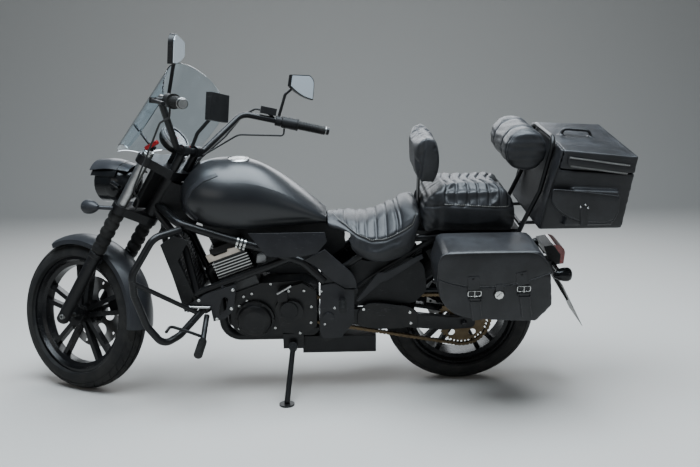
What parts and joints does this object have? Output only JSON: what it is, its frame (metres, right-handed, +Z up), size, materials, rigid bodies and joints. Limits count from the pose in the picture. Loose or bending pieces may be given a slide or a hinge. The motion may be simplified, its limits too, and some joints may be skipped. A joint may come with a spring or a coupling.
{
  "type": "cruiser motorcycle",
  "caption": "Parked cruiser motorcycle on its side stand, with a windscreen, engine guard, padded seats and leather luggage.",
  "frame": {"origin": "on the ground under the middle of the parked motorcycle's bounding box", "axes": "+X to the rear, +Y to the rider's right, +Z up"},
  "size_m": [2.4434, 1.075, 1.3938],
  "materials": {
    "tyre_rubber": "matt",
    "black_cast": "satin black coat",
    "disc_steel": "ground",
    "satin_steel": "satin",
    "black_metal": "satin",
    "matt_black": "matt",
    "fender_grey": "satin",
    "black_alloy": "satin",
    "black_rubber": "matt",
    "black_plastic": "matt",
    "gloss_black": "gloss",
    "engine_alloy": "matt black coat",
    "chain_steel": "bronze coloured",
    "clear_screen": "clear",
    "lamp_glass": "red",
    "mirror_face": "polished",
    "seat_cover": "grained",
    "bag_leather": "grained",
    "plate_blank": "blank"
  },
  "bodies": {
    "chassis": {"backrest_bracket": "black_metal", "chain": "chain_steel", "cylinders": "engine_alloy", "engine_block": "engine_alloy", "engine_covers": "engine_alloy", "engine_guard": "black_metal", "exhaust": "matt_black", "foot_controls": "black_metal", "frame": "black_metal", "fuel_cap": "satin_steel", "fuel_tank": "matt_black", "left_saddlebag": "bag_leather", "lower_cowls": "black_plastic", "number_plate": "plate_blank", "passenger_seat": "seat_cover", "radiator": "black_plastic", "rear_fender": "black_plastic", "rear_signals": "gloss_black", "rear_subframe": "black_metal", "rider_backrest": "seat_cover", "rider_seat": "seat_cover", "right_saddlebag": "bag_leather", "roll_pad": "seat_cover", "shock_absorber": "black_metal", "side_covers": "black_plastic", "sissy_bar": "black_metal", "stand_bracket": "black_metal", "swingarm": "black_alloy", "tail_lamp_lens": "lamp_glass", "top_bag": "bag_leather"},
    "steering": {"fork_gaiters": "black_rubber", "fork_sliders": "black_alloy", "fork_tubes": "satin_steel", "fork_yokes": "black_alloy", "front_axle": "satin_steel", "front_caliper": "black_alloy", "front_fender": "fender_grey", "front_signals": "gloss_black", "grips": "black_rubber", "hand_controls": "black_plastic", "handlebar": "black_metal", "headlamp": "gloss_black", "instruments": "black_plastic", "mirror_glass": "mirror_face", "mirrors": "black_plastic", "screen_mounts": "black_metal", "windscreen": "clear_screen", "front_hoses": "black_rubber", "bar_cables": "black_rubber"},
    "front_wheel": {"front_disc": "disc_steel", "front_rim": "black_cast", "front_tyre": "tyre_rubber"},
    "rear_wheel": {"rear_disc": "disc_steel", "rear_rim": "black_cast", "rear_sprocket": "chain_steel", "rear_tyre": "tyre_rubber"},
    "side_stand": {"side_stand": "black_metal"},
    "left_bag_lid": {"left_bag_lid": "bag_leather"},
    "right_bag_lid": {"right_bag_lid": "bag_leather"},
    "top_bag_lid": {"top_bag_lid": "bag_leather"}
  },
  "joints": [
    {"name": "steering_turn", "type": "hinge", "parent": "chassis", "child": "steering", "pos_m": [-0.51698, 0.06227, 0.90069], "axis": [0.5153, -0.1473, 0.8442], "range_deg": [0, 66]},
    {"name": "front_wheel_spin", "type": "hinge", "parent": "steering", "child": "front_wheel", "pos_m": [-0.93749, 0.19741, 0.31035], "axis": [0.4668, 0.8744, -0.1323], "continuous": true},
    {"name": "rear_wheel_spin", "type": "hinge", "parent": "chassis", "child": "rear_wheel", "pos_m": [0.62948, 0.16551, 0.30916], "axis": [0, 0.9851, 0.1719], "continuous": true},
    {"name": "side_stand_fold", "type": "hinge", "parent": "chassis", "child": "side_stand", "pos_m": [-0.06055, 0.03434, 0.19869], "axis": [0.0077, -0.8577, 0.5141], "range_deg": [0, 84.3]},
    {"name": "left_bag_lid_hinge", "type": "hinge", "parent": "chassis", "child": "left_bag_lid", "pos_m": [0.67961, -0.10143, 0.68027], "axis": [-1, -0.0001, 0.0003], "range_deg": [0, 100]},
    {"name": "right_bag_lid_hinge", "type": "hinge", "parent": "chassis", "child": "right_bag_lid", "pos_m": [0.67961, 0.29094, 0.74875], "axis": [1, 0.0001, -0.0003], "range_deg": [0, 100]},
    {"name": "top_bag_lid_hinge", "type": "hinge", "parent": "chassis", "child": "top_bag_lid", "pos_m": [0.94787, 0.03666, 1.04739], "axis": [0, -0.9851, -0.1719], "range_deg": [0, 80]}
  ]
}
